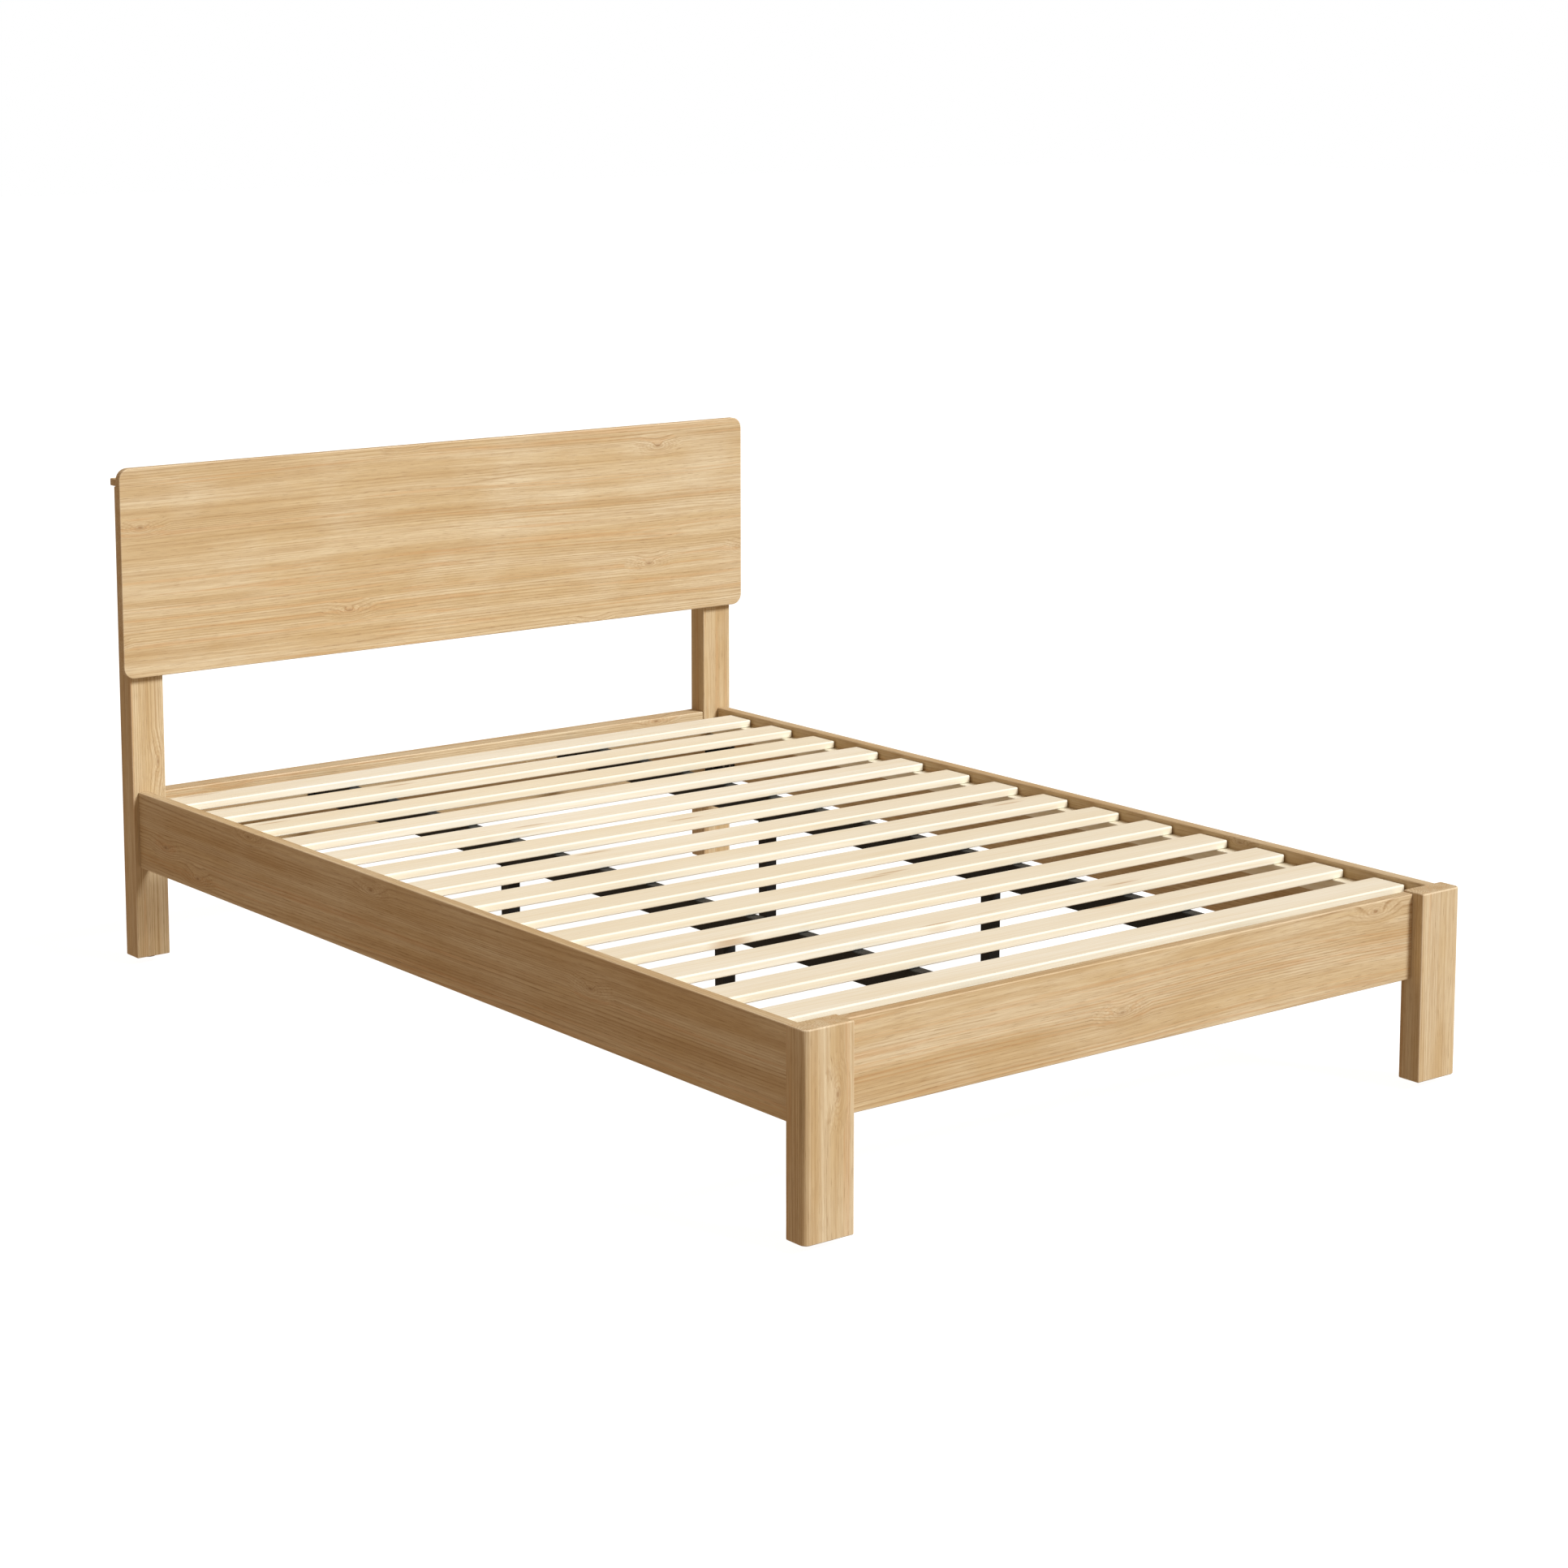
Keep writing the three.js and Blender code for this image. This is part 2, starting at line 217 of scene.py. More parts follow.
def oak(name, grain, heart, wander):
    """Pale oiled oak for one board: growth rings cut along their length, streaks and bands that
    follow them, pin knots, pores and sanded arrises. grain is the axis the board runs along, heart
    picks its stretch of figure, and wander says how far the rings stray sideways."""
    material = bpy.data.materials.new(name)
    material.use_nodes = True
    tree = material.node_tree
    shader = tree.nodes["Principled BSDF"]
    here = put(tree, "TexCoord", {}).outputs["Object"]
    turned = {"Vector": here, "Location": heart, "Rotation": GRAIN_TURNS[grain]}
    place = put(tree, "Mapping", turned).outputs[0]

    broad = put(tree, "SeparateXYZ", {"Vector": place})
    face = put(tree, "CombineXYZ", {"X": broad.outputs["X"], "Y": broad.outputs["Z"]}).outputs[0]
    knot = knots(tree, face, *OAK_KNOTS)
    swirl = level(tree, knot, [(0.0, 1.0), (0.05, 0.45), (0.14, 0.0)])
    knot_core = level(tree, knot, [(0.0, 1.0), (0.010, 0.7), (0.022, 0.0)])
    board = bent(tree, place, wander, swirl)

    split = put(tree, "SeparateXYZ", {"Vector": board})
    uneven = streaks(tree, board, 0.25, 19.0, 1.0)
    stray = calc(tree, "MULTIPLY", uneven, 9.0)
    flat = calc(tree, "MULTIPLY_ADD", split.outputs["Z"], OAK_RINGS[1], stray)
    ring = calc(tree, "FRACT", calc(tree, "MULTIPLY_ADD", split.outputs["Y"], OAK_RINGS[0], flat))
    late_wood = level(tree, ring, [(0.0, 0.0), (0.58, 0.06), (0.84, 0.9), (0.90, 1.0), (1.0, 0.0)])
    open_grain = level(tree, streaks(tree, board, 0.8, 30.0, 2.0), [(0.38, 0.08), (0.60, 1.0)])
    ring_line = calc(tree, "MULTIPLY", late_wood, open_grain)
    around_knot = calc(tree, "SINE", calc(tree, "MULTIPLY", knot, KNOT_RINGS))
    knot_arc = calc(tree, "MULTIPLY", calc(tree, "MAXIMUM", around_knot, 0.0), swirl)

    band = streaks(tree, board, 0.8, 34.0, 3.0, 0.55)
    streak = streaks(tree, board, 3.0, 220.0, 3.0, 0.62)
    hair = streaks(tree, board, 13.0, 720.0, 2.0, 0.6)
    fox_line = level(tree, streaks(tree, board, 0.6, 62.0, 2.0), [(0.59, 0.0), (0.63, 1.0), (0.68, 0.0)])
    pores = level(tree, streaks(tree, board, 38.0, 950.0, 1.0), [(0.33, 1.0), (0.42, 0.0)])
    pore_line = calc(tree, "MULTIPLY", pores, calc(tree, "MULTIPLY_ADD", late_wood, 0.6, 0.4))
    cloud = streaks(tree, place, 4.5, 9.0, 3.0, 0.55)

    timber = ramp(tree, band, [
        (0.32, tint(194, 169, 126)),
        (0.44, tint(205, 184, 144)),
        (0.56, tint(213, 196, 161)),
        (0.70, tint(218, 204, 172)),
    ])
    shine = level(tree, cloud, [(0.46, 0.0), (0.74, 0.42)])
    clouded = mixed(tree, shine, timber, tint(228, 220, 195))
    streaked = mixed(tree, level(tree, streak, [(0.42, 0.0), (0.70, 0.55)]), clouded, tint(180, 152, 112))
    lined = mixed(tree, calc(tree, "MULTIPLY", ring_line, 0.62), streaked, tint(161, 130, 89))
    arched = mixed(tree, calc(tree, "MULTIPLY", knot_arc, 0.42), lined, tint(161, 117, 73))
    haired = mixed(tree, level(tree, hair, [(0.40, 0.0), (0.75, 0.42)]), arched, tint(170, 139, 99))
    foxed = mixed(tree, calc(tree, "MULTIPLY", fox_line, 0.34), haired, tint(196, 151, 101))
    pored = mixed(tree, calc(tree, "MULTIPLY", pore_line, 0.48), foxed, tint(139, 107, 72))
    knotted = mixed(tree, calc(tree, "MULTIPLY", knot_core, 0.55), pored, tint(137, 101, 63))
    arris = put(tree, "Attribute", {}, attribute_name=ARRIS).outputs["Fac"]
    worn = calc(tree, "MULTIPLY", arris, level(tree, cloud, [(0.35, 0.10), (0.65, 0.30)]))
    tree.links.new(mixed(tree, worn, knotted, tint(236, 224, 199)), shader.inputs["Base Color"])

    gloss = calc(tree, "MULTIPLY_ADD", hair, 0.22, 0.42)
    smooth_lines = calc(tree, "MULTIPLY_ADD", ring_line, -0.06, gloss)
    dulled = calc(tree, "MULTIPLY_ADD", pores, 0.15, smooth_lines)
    tree.links.new(dulled, shader.inputs["Roughness"])
    shader.inputs["Specular IOR Level"].default_value = 0.32
    raised = calc(tree, "MULTIPLY_ADD", hair, 0.45, calc(tree, "MULTIPLY", ring_line, 0.35))
    pitted = calc(tree, "MULTIPLY_ADD", pore_line, -0.8, raised)
    bump = put(tree, "Bump", {"Height": pitted, "Strength": 0.28, "Distance": 0.0005})
    tree.links.new(bump.outputs["Normal"], shader.inputs["Normal"])
    return material


def copied(node):
    """A CAD node's shape with its loose triangles joined and its flat faces made whole."""
    shape = bmesh.new()
    shape.from_mesh(frame["nodes"][node].data)
    bmesh.ops.remove_doubles(shape, verts=shape.verts, dist=JOIN)
    bmesh.ops.dissolve_limit(shape, angle_limit=math.radians(1), verts=shape.verts, edges=shape.edges)
    shape.normal_update()
    return shape


def outside_of(node):
    """A CAD node's outer form, with no holes in it."""
    source = copied(node)
    shape = bmesh.new()
    for vert in source.verts:
        shape.verts.new(vert.co)
    source.free()
    bmesh.ops.convex_hull(shape, input=shape.verts)
    bmesh.ops.delete(shape, geom=[v for v in shape.verts if not v.link_faces], context="VERTS")
    bmesh.ops.dissolve_limit(shape, angle_limit=math.radians(1), verts=shape.verts, edges=shape.edges)
    shape.normal_update()
    return shape


def combined(shape, other, operation):
    """The first shape with the second cut out of it, or cut down to it, as the operation says. The
    second is used up."""
    pieces = []
    for source in (shape, other):
        piece = bpy.data.objects.new("blank", bpy.data.meshes.new("blank"))
        source.to_mesh(piece.data)
        bpy.context.scene.collection.objects.link(piece)
        pieces.append(piece)
    other.free()
    shape.clear()
    cut = pieces[0].modifiers.new("cut", "BOOLEAN")
    cut.operation = operation
    cut.solver = "EXACT"
    cut.object = pieces[1]
    bpy.context.view_layer.update()
    result = pieces[0].evaluated_get(bpy.context.evaluated_depsgraph_get())
    shape.from_mesh(bpy.data.meshes.new_from_object(result))
    for piece in pieces:
        bpy.data.objects.remove(piece)
    return shape


def outer_edges(shape, longer_than=0.0):
    """The sharp edges round the outside of a piece, and none of its holes', mortises' and tenons'."""
    outside = set()
    for face in shape.faces:
        height = face.verts[0].co.dot(face.normal)
        if all(v.co.dot(face.normal) < height + JOIN for v in shape.verts):
            outside.add(face)
    found = []
    for edge in shape.edges:
        if len(edge.link_faces) == 2 and edge.calc_length() > longer_than:
            if outside.issuperset(edge.link_faces) and edge.calc_face_angle() > SHARP:
                found.append(edge)
    return found


def eased(shape, edges, radius, segments=3):
    """Rounds edges over and marks the rounded faces, where sanding and hands have paled the finish."""
    layers = shape.faces.layers.float
    mark = layers.get(ARRIS) or layers.new(ARRIS)
    made = bmesh.ops.bevel(
        shape, geom=edges, offset=radius, offset_type="OFFSET", affect="EDGES",
        segments=segments, profile=0.5, material=-1,
    )
    for face in made["faces"]:
        face[mark] = 1.0


def finished(shape, name, material, nodes=(), body="frame"):
    """Turns a shape into a piece that rides on a body and stands for the CAD nodes named."""
    mesh = bpy.data.meshes.new(name)
    shape.to_mesh(mesh)
    shape.free()
    for layer in [a for a in mesh.attributes if a.name in ("custom_normal", "UVMap")]:
        mesh.attributes.remove(layer)
    mesh.materials.clear()
    mesh.materials.append(material)
    mesh.shade_smooth()
    mesh.set_sharp_from_angle(angle=SHARP)
    piece = bpy.data.objects.new(name, mesh)
    bpy.context.scene.collection.objects.link(piece)
    normals = piece.modifiers.new("even_normals", "WEIGHTED_NORMAL")
    normals.keep_sharp = True
    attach(piece, body)
    if nodes:
        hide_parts(*nodes)
    return piece


def oak_member(node, grain, heart, easing, wander, drilled=False):
    """One oak board: its CAD shape with eased arrises and its own stretch of figure."""
    shape = outside_of(node) if drilled else copied(node)
    eased(shape, outer_edges(shape), easing)
    if drilled:
        combined(shape, copied(node), "INTERSECT")
    return finished(shape, node + "_oak", oak("oak_" + node, grain, heart, wander), [node])


oak_member("foot_leg_left", "z", (0.31, 0.94, 0.47), LEG_EASING, 0.012, drilled=True)
oak_member("foot_leg_right", "z", (2.73, 1.88, 3.14), LEG_EASING, 0.012, drilled=True)

# ---- Foot rail and side rails ----
# Three 22 mm oak boards on edge. The foot rail is tenoned into the legs, level with their rear faces.
# The side rails butt between leg and post, and a corner bracket holds each end.
RAIL_EASING = 0.002
oak_member("foot_rail", "x", (5.10, 1.02, 0.36), RAIL_EASING, 0.04)
oak_member("side_rail_left", "y", (7.45, 3.31, 1.72), RAIL_EASING, 0.03)
oak_member("side_rail_right", "y", (9.20, 0.64, 2.25), RAIL_EASING, 0.03)

# ---- Head rail and head posts ----
# The thick head rail is tenoned between two plain upright posts, which carry on up behind the headboard.
# The posts are bored through from behind for the screws that hold the panel.
POST_EASING = 0.002
oak_member("head_rail", "x", (11.6, 2.77, 4.05), RAIL_EASING, 0.03)
oak_member("head_post_left", "z", (3.92, 5.26, 0.88), POST_EASING, 0.012, drilled=True)
oak_member("head_post_right", "z", (6.07, 4.40, 1.39), POST_EASING, 0.012, drilled=True)

# ---- Headboard ----
# One wide 16 mm oak panel with rounded corners, screwed to the fronts of the posts.
# A flat cap rail lies on the posts' tops behind it.
PANEL_EASING = 0.0022
CAP_EASING = 0.002
oak_member("headboard_panel", "x", (0.84, 6.15, 2.11), PANEL_EASING, 0.03, drilled=True)
oak_member("headboard_cap_rail", "x", (13.4, 1.36, 5.58), CAP_EASING, 0.02)

# ---- Slats ----
# Fourteen pale pine slats, planed with round arrises, lying loose on the ledges.
# Each is a board of its own, so the grain changes from one to the next.
SLAT_COUNT = 14
SLAT_EASING = 0.003
PINE_KNOTS = (0.9, 9.0)
PINE_RINGS = (120.0, 90.0)


def pine(name, grain, heart, pitch=None):
    """Pale planed pine with faint rings and a few short brown knots. With a pitch, each board that
    far apart along Y gets a figure and a tone of its own."""
    material = bpy.data.materials.new(name)
    material.use_nodes = True
    tree = material.node_tree
    shader = tree.nodes["Principled BSDF"]
    here = put(tree, "TexCoord", {}).outputs["Object"]
    board_tone = 0.5
    shifted = here
    if pitch:
        along_bed = put(tree, "SeparateXYZ", {"Vector": here}).outputs["Y"]
        row = calc(tree, "FLOOR", calc(tree, "DIVIDE", along_bed, pitch))
        luck = put(tree, "TexWhiteNoise", {"W": row}, noise_dimensions="1D")
        board_tone = luck.outputs["Value"]
        jump = {0: luck.outputs["Color"], 1: (9.0, 9.0, 9.0), 2: here}
        shifted = put(tree, "VectorMath", jump, operation="MULTIPLY_ADD").outputs[0]
    turned = {"Vector": shifted, "Location": heart, "Rotation": GRAIN_TURNS[grain]}
    place = put(tree, "Mapping", turned).outputs[0]

    knot = knots(tree, place, *PINE_KNOTS)
    swirl = level(tree, knot, [(0.0, 1.0), (0.07, 0.35), (0.18, 0.0)])
    knot_core = level(tree, knot, [(0.0, 1.0), (0.020, 0.8), (0.045, 0.0)])
    board = bent(tree, place, 0.05, swirl)
    split = put(tree, "SeparateXYZ", {"Vector": board})
    upright = calc(tree, "MULTIPLY", split.outputs["Z"], PINE_RINGS[1])
    ring = calc(tree, "FRACT", calc(tree, "MULTIPLY_ADD", split.outputs["Y"], PINE_RINGS[0], upright))
    late_wood = level(tree, ring, [(0.0, 0.0), (0.5, 0.1), (0.85, 1.0), (1.0, 0.0)])
    streak = streaks(tree, board, 1.8, 130.0, 3.0, 0.6)
    hair = streaks(tree, board, 6.0, 520.0, 2.0, 0.6)
    cloud = streaks(tree, board, 1.8, 12.0, 3.0, 0.6)

    timber = mixed(tree, board_tone, tint(239, 237, 220), tint(243, 243, 231))
    clouded = mixed(tree, level(tree, cloud, [(0.40, 0.0), (0.75, 0.55)]), timber, tint(231, 222, 195))
    lined = mixed(tree, calc(tree, "MULTIPLY", late_wood, 0.20), clouded, tint(219, 202, 166))
    streaked = mixed(tree, level(tree, streak, [(0.46, 0.0), (0.78, 0.42)]), lined, tint(223, 208, 173))
    haired = mixed(tree, level(tree, hair, [(0.45, 0.0), (0.80, 0.24)]), streaked, tint(217, 201, 166))
    knotted = mixed(tree, calc(tree, "MULTIPLY", knot_core, 0.62), haired, tint(179, 139, 87))
    arris = put(tree, "Attribute", {}, attribute_name=ARRIS).outputs["Fac"]
    sanded = mixed(tree, calc(tree, "MULTIPLY", arris, 0.45), knotted, tint(248, 249, 240))
    tree.links.new(sanded, shader.inputs["Base Color"])
    tree.links.new(calc(tree, "MULTIPLY_ADD", hair, 0.25, 0.42), shader.inputs["Roughness"])
    shader.inputs["Specular IOR Level"].default_value = 0.34
    raised = calc(tree, "MULTIPLY_ADD", hair, 0.5, calc(tree, "MULTIPLY", late_wood, 0.3))
    bump = put(tree, "Bump", {"Height": raised, "Strength": 0.22, "Distance": 0.0004})
    tree.links.new(bump.outputs["Normal"], shader.inputs["Normal"])
    return material


slat_names = [f"slat_{number:02d}" for number in range(1, SLAT_COUNT + 1)]
first_slat, last_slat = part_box(slat_names[0])[0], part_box(slat_names[-1])[0]
slat_pitch = (first_slat.y - last_slat.y) / (SLAT_COUNT - 1)
slat_pine = pine("slat_pine", "x", (1.3, 0.4, 2.6), slat_pitch)
for slat_name in slat_names:
    shape = copied(slat_name)
    eased(shape, outer_edges(shape), SLAT_EASING, 4)
    finished(shape, slat_name + "_pine", slat_pine, [slat_name])

# ---- Slat ledges ----
# Square pine battens inside the side rails, which the slats rest on.
# Each is glued and screwed to its rail with countersunk wood screws.
LEDGE_EASING = 0.0015
LEDGE_SCREWS = 7
LEDGE_END_ROOM = 0.14  # from a ledge's end to its first screw
SCREW_HEAD = 0.0042  # a wood screw head's radius
SCREW_SEGMENTS = 24
HEAD_PROFILE = ((0.92, 0.0), (1.0, 0.10), (0.45, 1.0))  # (radius, drop) as shares of that radius
CROSS_RECESS = (0.55, 0.20) * 4  # corners of the recess, as shares of the flat's radius
RECESS_DEPTH = 0.45
PROUD = 0.0003  # how far a screw head stands out of the face it is sunk in
ledge_pine = pine("ledge_pine", "y", (4.1, 2.2, 0.7))


def socketed(shape, rim, shares, sink):
    """Fills the flat end inside a rim of vertices, round a socket. The socket's mouth has a corner at
    each of the shares of the rim's radius, and sink is the way down to its flat bottom."""
    middle = sum((vert.co for vert in rim), Vector()) / len(rim)
    step = len(rim) // len(shares)
    mouth = [shape.verts.new(middle.lerp(rim[step * k].co, share)) for k, share in enumerate(shares)]
    bottom = [shape.verts.new(vert.co + sink) for vert in mouth]
    for k in range(len(shares)):
        after = (k + 1) % len(shares)
        arc = [rim[(step * k + j) % len(rim)] for j in range(step + 1)]
        shape.faces.new(arc + [mouth[after], mouth[k]])
        shape.faces.new([mouth[k], mouth[after], bottom[after], bottom[k]])
    shape.faces.new(bottom)


def cross_head_screws(name, places, facing):
    """Countersunk zinc wood screws with a cross recess. Their heads lie at the places given and face
    along an axis. No more of each is made than its head."""
    shape = bmesh.new()
    out = Vector(facing)
    turn = out.to_track_quat("Z", "Y").to_matrix().to_4x4()
    for place in places:
        loops = []
        for share, drop in HEAD_PROFILE:
            at = Matrix.Translation(Vector(place) - out * SCREW_HEAD * drop) @ turn
            made = bmesh.ops.create_circle(
                shape, cap_ends=False, segments=SCREW_SEGMENTS, radius=SCREW_HEAD * share, matrix=at,
            )
            loops.append(made["verts"])
        for upper, lower in zip(loops, loops[1:]):
            for k in range(SCREW_SEGMENTS):
                after = (k + 1) % SCREW_SEGMENTS
                shape.faces.new([upper[k], upper[after], lower[after], lower[k]])
        shape.faces.new(loops[-1])
        socketed(shape, loops[0], CROSS_RECESS, out * SCREW_HEAD * -RECESS_DEPTH)
    bmesh.ops.recalc_face_normals(shape, faces=shape.faces)
    return finished(shape, name, zinc)


def metal(name, colour, scuffed, roughness, metalness, speckle, relief, shine=0.5):
    """Coated or plated steel, or black nylon: a fine speckle of so many grains a metre, broad
    handling marks and paler arrises. relief is the strength of the speckle's bumps."""
    material = bpy.data.materials.new(name)
    material.use_nodes = True
    tree = material.node_tree
    shader = tree.nodes["Principled BSDF"]
    here = put(tree, "TexCoord", {}).outputs["Object"]
    grit = put(tree, "TexNoise", {"Vector": here, "Scale": speckle, "Detail": 2.0}).outputs["Fac"]
    handling = {"Vector": here, "Scale": 14.0, "Detail": 4.0, "Roughness": 0.6}
    smear = put(tree, "TexNoise", handling).outputs["Fac"]
    arris = put(tree, "Attribute", {}, attribute_name=ARRIS).outputs["Fac"]
    marked = level(tree, smear, [(0.42, 0.0), (0.80, 0.5)])
    coat = mixed(tree, marked, colour, scuffed)
    flecked = mixed(tree, level(tree, grit, [(0.50, 0.0), (0.75, 0.5)]), coat, scuffed)
    worn = mixed(tree, calc(tree, "MULTIPLY", arris, 0.6), flecked, scuffed)
    tree.links.new(worn, shader.inputs["Base Color"])
    dull = calc(tree, "MULTIPLY_ADD", smear, 0.22, roughness - 0.11)
    tree.links.new(calc(tree, "MULTIPLY_ADD", grit, 0.10, dull), shader.inputs["Roughness"])
    shader.inputs["Metallic"].default_value = metalness
    shader.inputs["Specular IOR Level"].default_value = shine
    bump = put(tree, "Bump", {"Height": grit, "Strength": relief, "Distance": 0.0002})
    tree.links.new(bump.outputs["Normal"], shader.inputs["Normal"])
    return material


zinc = metal("bright_zinc", tint(182, 185, 188), tint(206, 208, 206), 0.36, 1.0, 900.0, 0.10)
powder_coat = metal(
    "black_powder_coat", tint(13, 17, 21), tint(28, 32, 36), 0.50, 0.0, 1400.0, 0.30, shine=0.32,
)

for side_name, towards_middle in (("left", 1), ("right", -1)):
    ledge_name = "slat_ledge_" + side_name
    shape = copied(ledge_name)
    eased(shape, outer_edges(shape), LEDGE_EASING)
    finished(shape, ledge_name + "_pine", ledge_pine, [ledge_name])
    low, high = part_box(ledge_name)
    face_x = (high.x if towards_middle > 0 else low.x) + towards_middle * PROUD
    step = (high.y - low.y - 2 * LEDGE_END_ROOM) / (LEDGE_SCREWS - 1)
    ys = [low.y + LEDGE_END_ROOM + step * index for index in range(LEDGE_SCREWS)]
    places = [(face_x, y, (low.z + high.z) / 2) for y in ys]
    cross_head_screws("ledge_screws_" + side_name, places, (towards_middle, 0, 0))

# ---- Corner brackets ----
# Folded 3 mm steel angles, powder coated black, that tie each side rail to its leg or post.
# Two bolts go into the upright, and four wood screws into the rail.
PLATE_EASING = 0.0006
BRACKET_THICKNESS = 0.003
BEND_RADIUS = 0.0045
PLATE_CORNER = 0.006
BOLT_HOLE = 0.0044  # radius
BOLT_HOLE_SEGMENTS = 32
BRACKET_SCREW_ROWS = (0.22, 0.78)  # shares of the bracket's height
BRACKET_SCREW_SETBACKS = (0.024, 0.048)  # from the upright's face


def bolt_holes(bolts):
    """Bars along Y a little thicker than the bolts' shanks, to drill a plate with."""
    bars = bmesh.new()
    for bolt in bolts:
        low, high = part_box(bolt)
        at = Matrix.Translation((low + high) / 2) @ Matrix.Rotation(math.pi / 2, 4, "X")
        bmesh.ops.create_cone(
            bars, cap_ends=True, segments=BOLT_HOLE_SEGMENTS, radius1=BOLT_HOLE, radius2=BOLT_HOLE,
            depth=2 * (high.y - low.y), matrix=at,
        )
    return bars


def folded_angle(node, towards_middle, away):
    """An angle plate with a rolled bend and round corners, with no holes yet."""
    low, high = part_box(node)
    rail_x, tip_x = (low.x, high.x) if towards_middle > 0 else (high.x, low.x)
    upright_y, tip_y = (low.y, high.y) if away > 0 else (high.y, low.y)
    inside_x = rail_x + towards_middle * BRACKET_THICKNESS
    inside_y = upright_y + away * BRACKET_THICKNESS
    outline = [(rail_x, upright_y), (tip_x, upright_y), (tip_x, inside_y)]
    outline += [(inside_x, inside_y), (inside_x, tip_y), (rail_x, tip_y)]
    shape = bmesh.new()
    base = shape.faces.new([shape.verts.new((x, y, low.z)) for x, y in outline])
    made = bmesh.ops.extrude_face_region(shape, geom=[base])["geom"]
    lifted = [part for part in made if isinstance(part, bmesh.types.BMVert)]
    bmesh.ops.translate(shape, verts=lifted, vec=(0, 0, high.z - low.z))
    bmesh.ops.recalc_face_normals(shape, faces=shape.faces)
    outer_bend, plate_corners = [], []
    for edge in shape.edges:
        (x0, y0, z0), (_, _, z1) = (v.co for v in edge.verts)
        if abs(z1 - z0) > PLATE_CORNER and (x0, y0) == (rail_x, upright_y):
            outer_bend.append(edge)
        if abs(z1 - z0) < JOIN and abs(edge.calc_length() - BRACKET_THICKNESS) < JOIN:
            plate_corners.append(edge)
    eased(shape, plate_corners, PLATE_CORNER, 4)
    eased(shape, [e for e in outer_bend if e.is_valid], BEND_RADIUS, 4)
    return shape


for end_name, away in (("foot", 1), ("head", -1)):
    for side_name, towards_middle in (("left", 1), ("right", -1)):
        node = f"corner_bracket_{end_name}_{side_name}"
        bolts = [f"corner_bolt_{end_name}_{side_name}_{row_name}" for row_name in ("lower", "upper")]
        shape = combined(folded_angle(node, towards_middle, away), bolt_holes(bolts), "DIFFERENCE")
        finished(shape, node + "_steel", powder_coat, [node])
        low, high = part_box(node)
        plate_x = low.x if towards_middle > 0 else high.x
        face_x = plate_x + towards_middle * (BRACKET_THICKNESS + PROUD)
        upright_y = low.y if away > 0 else high.y
        places = [
            (face_x, upright_y + away * setback, low.z + (high.z - low.z) * row)
            for setback in BRACKET_SCREW_SETBACKS
            for row in BRACKET_SCREW_ROWS
        ]
        cross_head_screws(f"bracket_screws_{end_name}_{side_name}", places, (towards_middle, 0, 0))

# ---- Corner bolts and headboard screws ----
# Zinc plated bolts with a hexagon socket hold the brackets to the uprights.
# The same kind of head, sunk flush, closes the screw holes behind the headboard.
HEX_SHARE = 0.52  # these three are shares of the head's radius
HEX_DEPTH = 0.50
HEX_RIM = 0.09


def socket_head(node, facing):
    """A CAD bolt or screw with a rounded rim and a hexagon socket in its head, which looks along Y
    the way that facing says."""
    low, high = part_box(node)
    radius = (high.x - low.x) / 2
    shape = copied(node)
    end = max(shape.faces, key=lambda face: facing * face.calc_center_median().y)
    middle = end.calc_center_median()
    rim = sorted(end.verts, key=lambda vert: math.atan2(vert.co.z - middle.z, vert.co.x - middle.x))
    bmesh.ops.delete(shape, geom=[end], context="FACES_ONLY")
    socketed(shape, rim, (HEX_SHARE,) * 6, Vector((0, -facing * radius * HEX_DEPTH, 0)))
    around = [edge for edge in shape.edges if set(edge.verts).issubset(rim)]
    bmesh.ops.recalc_face_normals(shape, faces=shape.faces)
    eased(shape, around, radius * HEX_RIM, 2)
    return finished(shape, node + "_zinc", zinc, [node])


for side_name in ("left", "right"):
    for height_name in ("lower", "upper"):
        socket_head(f"corner_bolt_foot_{side_name}_{height_name}", 1)
        socket_head(f"corner_bolt_head_{side_name}_{height_name}", -1)
        socket_head(f"headboard_screw_{side_name}_{height_name}", 1)

# ---- Centre beams and their saddles ----
# Two black steel box tubes run the length of the bed under the slats, with rolled corners and sawn ends.
# Folded saddles, screwed to the foot rail and the head rail, carry their ends.
BEAM_CORNER = 0.0025
BEAM_LONG_EDGE = 0.5  # only the tube's own corners are longer than this
SADDLE_THICKNESS = 0.0025
SADDLE_SCREW_COLUMNS = (0.13, 0.87)  # shares of the saddle's width
SADDLE_SCREW_ROWS = (0.2, 0.8)  # shares of its height
for side_name in ("left", "right"):
    node = "centre_beam_" + side_name
    shape = copied(node)
    eased(shape, outer_edges(shape, BEAM_LONG_EDGE), BEAM_CORNER)
    finished(shape, node + "_steel", powder_coat, [node])
    for end_name, away in (("foot", 1), ("head", -1)):
        node = f"beam_saddle_{end_name}_{side_name}"
        shape = copied(node)
        eased(shape, outer_edges(shape), PLATE_EASING, 2)
        finished(shape, node + "_steel", powder_coat, [node])
        low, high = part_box(node)
        face_y = (low.y if away > 0 else high.y) + away * (SADDLE_THICKNESS + PROUD)
        places = [
            (low.x + (high.x - low.x) * across, face_y, low.z + (high.z - low.z) * up)
            for across in SADDLE_SCREW_COLUMNS
            for up in SADDLE_SCREW_ROWS
        ]
        cross_head_screws(f"saddle_screws_{end_name}_{side_name}", places, (0, away, 0))

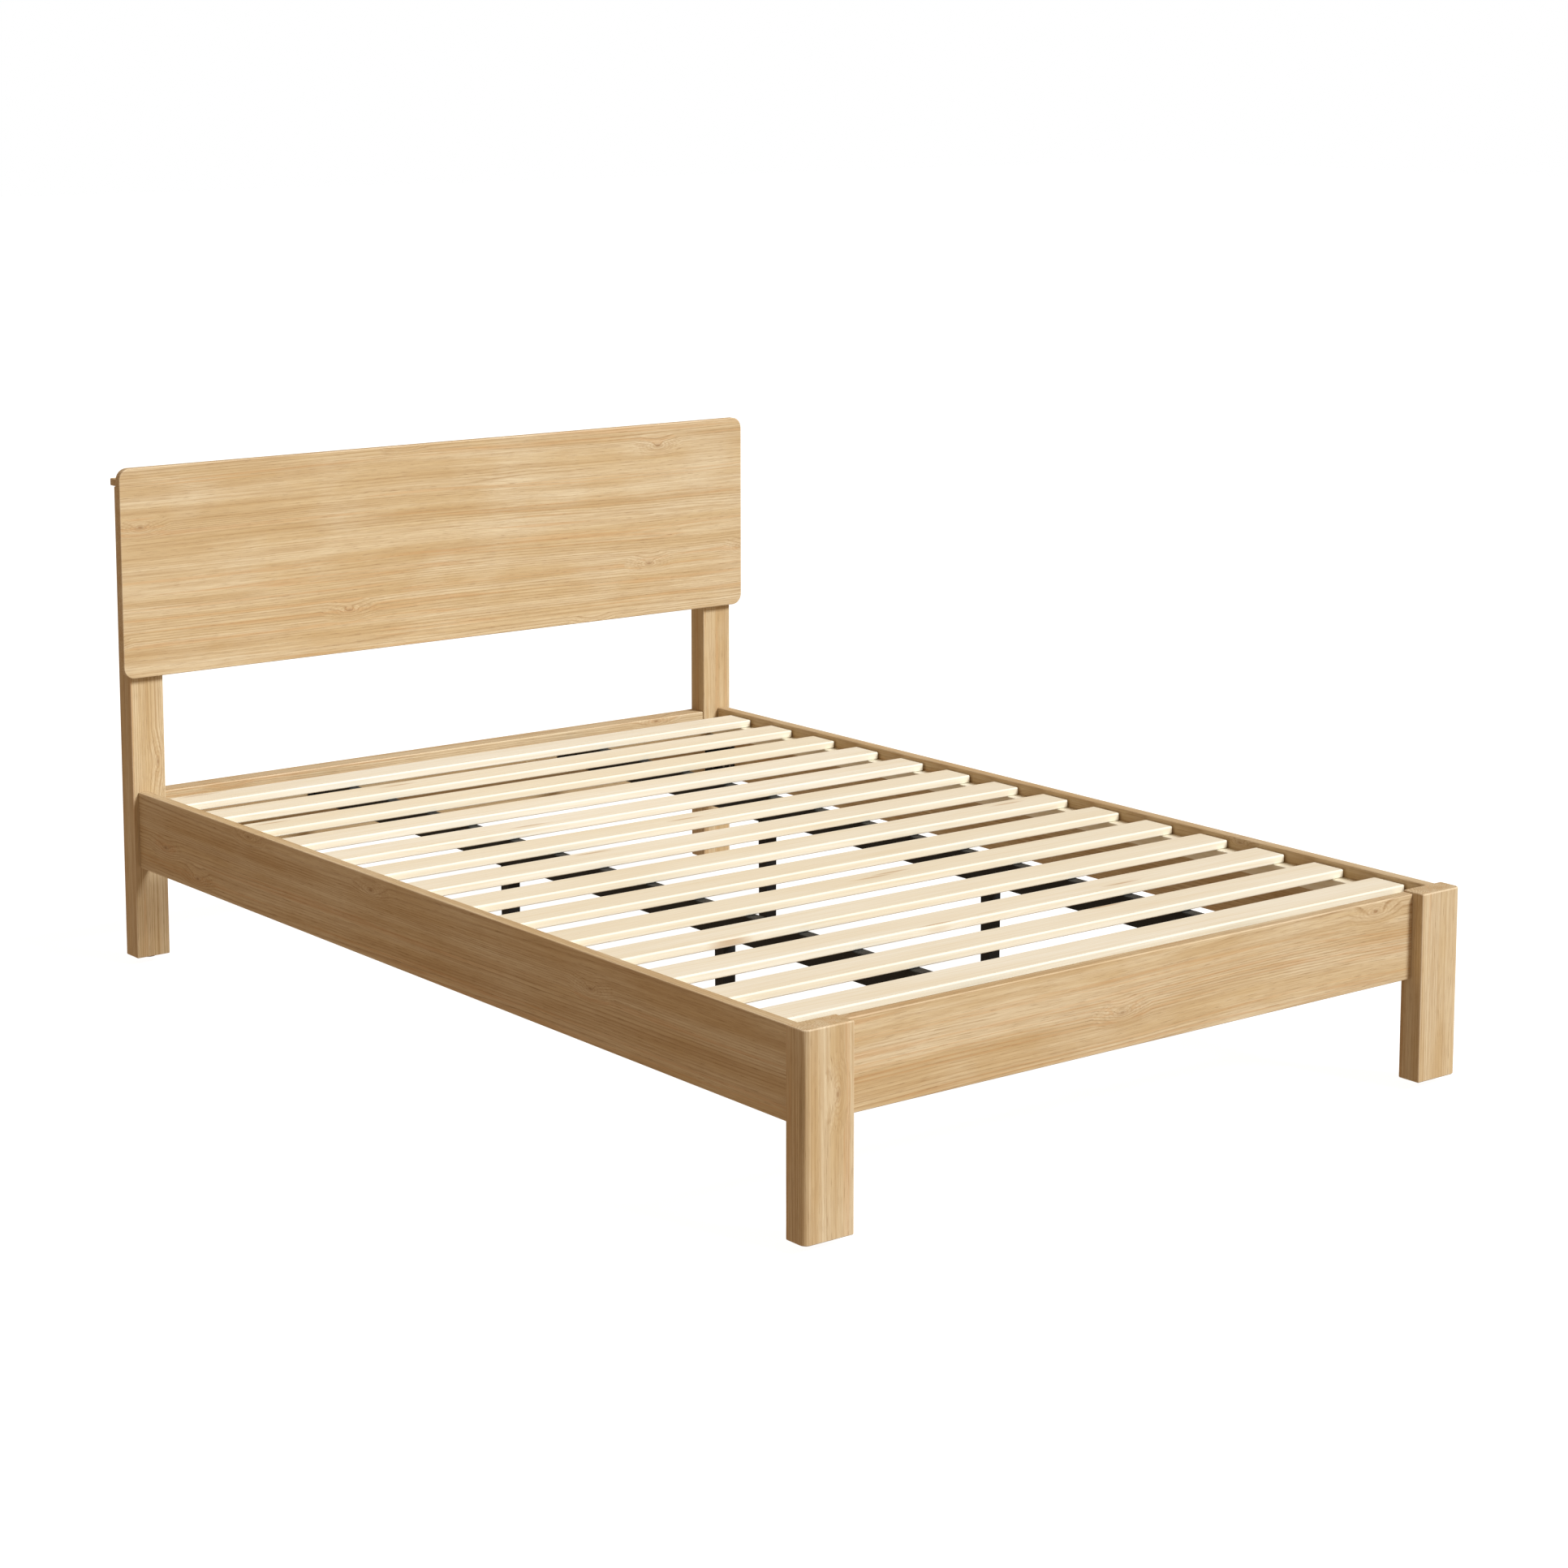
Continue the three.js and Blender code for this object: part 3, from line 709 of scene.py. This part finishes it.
# ---- Centre legs and levelling feet ----
# Square steel tubes welded under the beams, each with a nut plate in its lower end.
# A nylon foot on a threaded stem screws into it, and its ribbed pad levels the bed.
LEG_TUBE_CORNER = 0.002
LEG_TUBE_LONG_EDGE = 0.2  # only the tube's own upright edges are longer than this
PAD_PROFILE = ((0.94, 0.0), (1.0, 0.001), (1.0, 0.0036), (0.93, 0.0046))  # (share of radius, height)
NECK_PROFILE = ((0.010, 0.0088), (0.0088, 0.0100))  # (radius, height)
STEM_RADIUS = 0.0040
STEM_TIP = 0.0032  # radius
THREAD_START = 0.0105  # height
THREAD_TOP_ROOM = 0.001
THREAD_PITCH = 0.00125
THREAD_DEPTH = 0.0007
PAD_RIBS = 24
RIB_DEPTH = 0.0006
nylon = metal("black_nylon", tint(26, 26, 28), tint(44, 44, 46), 0.62, 0.0, 700.0, 0.15)


def tube_corners(shape, low, high):
    """The four upright outer edges of a leg's square tube, and none of its bore's."""
    axis = Vector(((low.x + high.x) / 2, (low.y + high.y) / 2))
    reach = 0.68 * (high.x - low.x)  # more than half the bore's diagonal, less than half the tube's
    found = []
    for edge in shape.edges:
        outside = all((vert.co.xy - axis).length > reach for vert in edge.verts)
        if outside and edge.calc_length() > LEG_TUBE_LONG_EDGE:
            found.append(edge)
    return found


def levelling_foot(node, body):
    """A round pad with a ring of ribs to grip, a neck, and a threaded stem."""
    low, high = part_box(node)
    x, y = (low.x + high.x) / 2, (low.y + high.y) / 2
    radius = (high.x - low.x) / 2
    height = high.z - low.z
    profile = [(0.0, 0.0)] + [(radius * share, z) for share, z in PAD_PROFILE]
    profile += [*NECK_PROFILE, (STEM_RADIUS, NECK_PROFILE[-1][1])]
    turns = int((height - THREAD_START - THREAD_TOP_ROOM) / THREAD_PITCH)
    for turn in range(turns):
        z = THREAD_START + turn * THREAD_PITCH
        profile += [(STEM_RADIUS - THREAD_DEPTH, z), (STEM_RADIUS, z + THREAD_PITCH / 2)]
    profile += [(STEM_TIP, height), (0.0, height)]
    shape = bmesh.new()
    verts = [shape.verts.new((x + r, y, low.z + z)) for r, z in profile]
    edges = [shape.edges.new(pair) for pair in zip(verts, verts[1:])]
    bmesh.ops.spin(
        shape, geom=verts + edges, cent=(x, y, 0), axis=(0, 0, 1), angle=2 * math.pi,
        steps=2 * PAD_RIBS, use_merge=True,
    )
    bmesh.ops.remove_doubles(shape, verts=shape.verts, dist=JOIN)
    for vert in shape.verts:
        out = Vector((vert.co.x - x, vert.co.y - y, 0))
        if out.length > radius * 0.97:
            rib = round(math.atan2(out.y, out.x) / (math.pi / PAD_RIBS)) % 2
            vert.co -= out.normalized() * RIB_DEPTH * rib
    bmesh.ops.recalc_face_normals(shape, faces=shape.faces)
    return finished(shape, node + "_nylon", nylon, [node], body)


bodies = frame["record"]["behaviour"]["bodies"]
body_of_node = {node: body for body, nodes in bodies.items() for node in nodes}
for side_name in ("left", "right"):
    for place_name in ("foot", "head"):
        node = f"centre_leg_{place_name}_{side_name}"
        shape = copied(node)
        eased(shape, tube_corners(shape, *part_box(node)), LEG_TUBE_CORNER)
        finished(shape, node + "_steel", powder_coat, [node])
        foot_node = f"levelling_foot_{place_name}_{side_name}"
        levelling_foot(foot_node, body_of_node[foot_node])

# ---- Floor glides ----
# Thin moulded buttons of black nylon under the four wooden uprights.
# They are pressed into the end grain, and keep it off the floor.
GLIDE_EASING = 0.0008
for side_name in ("left", "right"):
    for end_name in ("foot", "head"):
        node = f"floor_glide_{end_name}_{side_name}"
        shape = copied(node)
        eased(shape, outer_edges(shape), GLIDE_EASING, 2)
        finished(shape, node + "_nylon", nylon, [node])
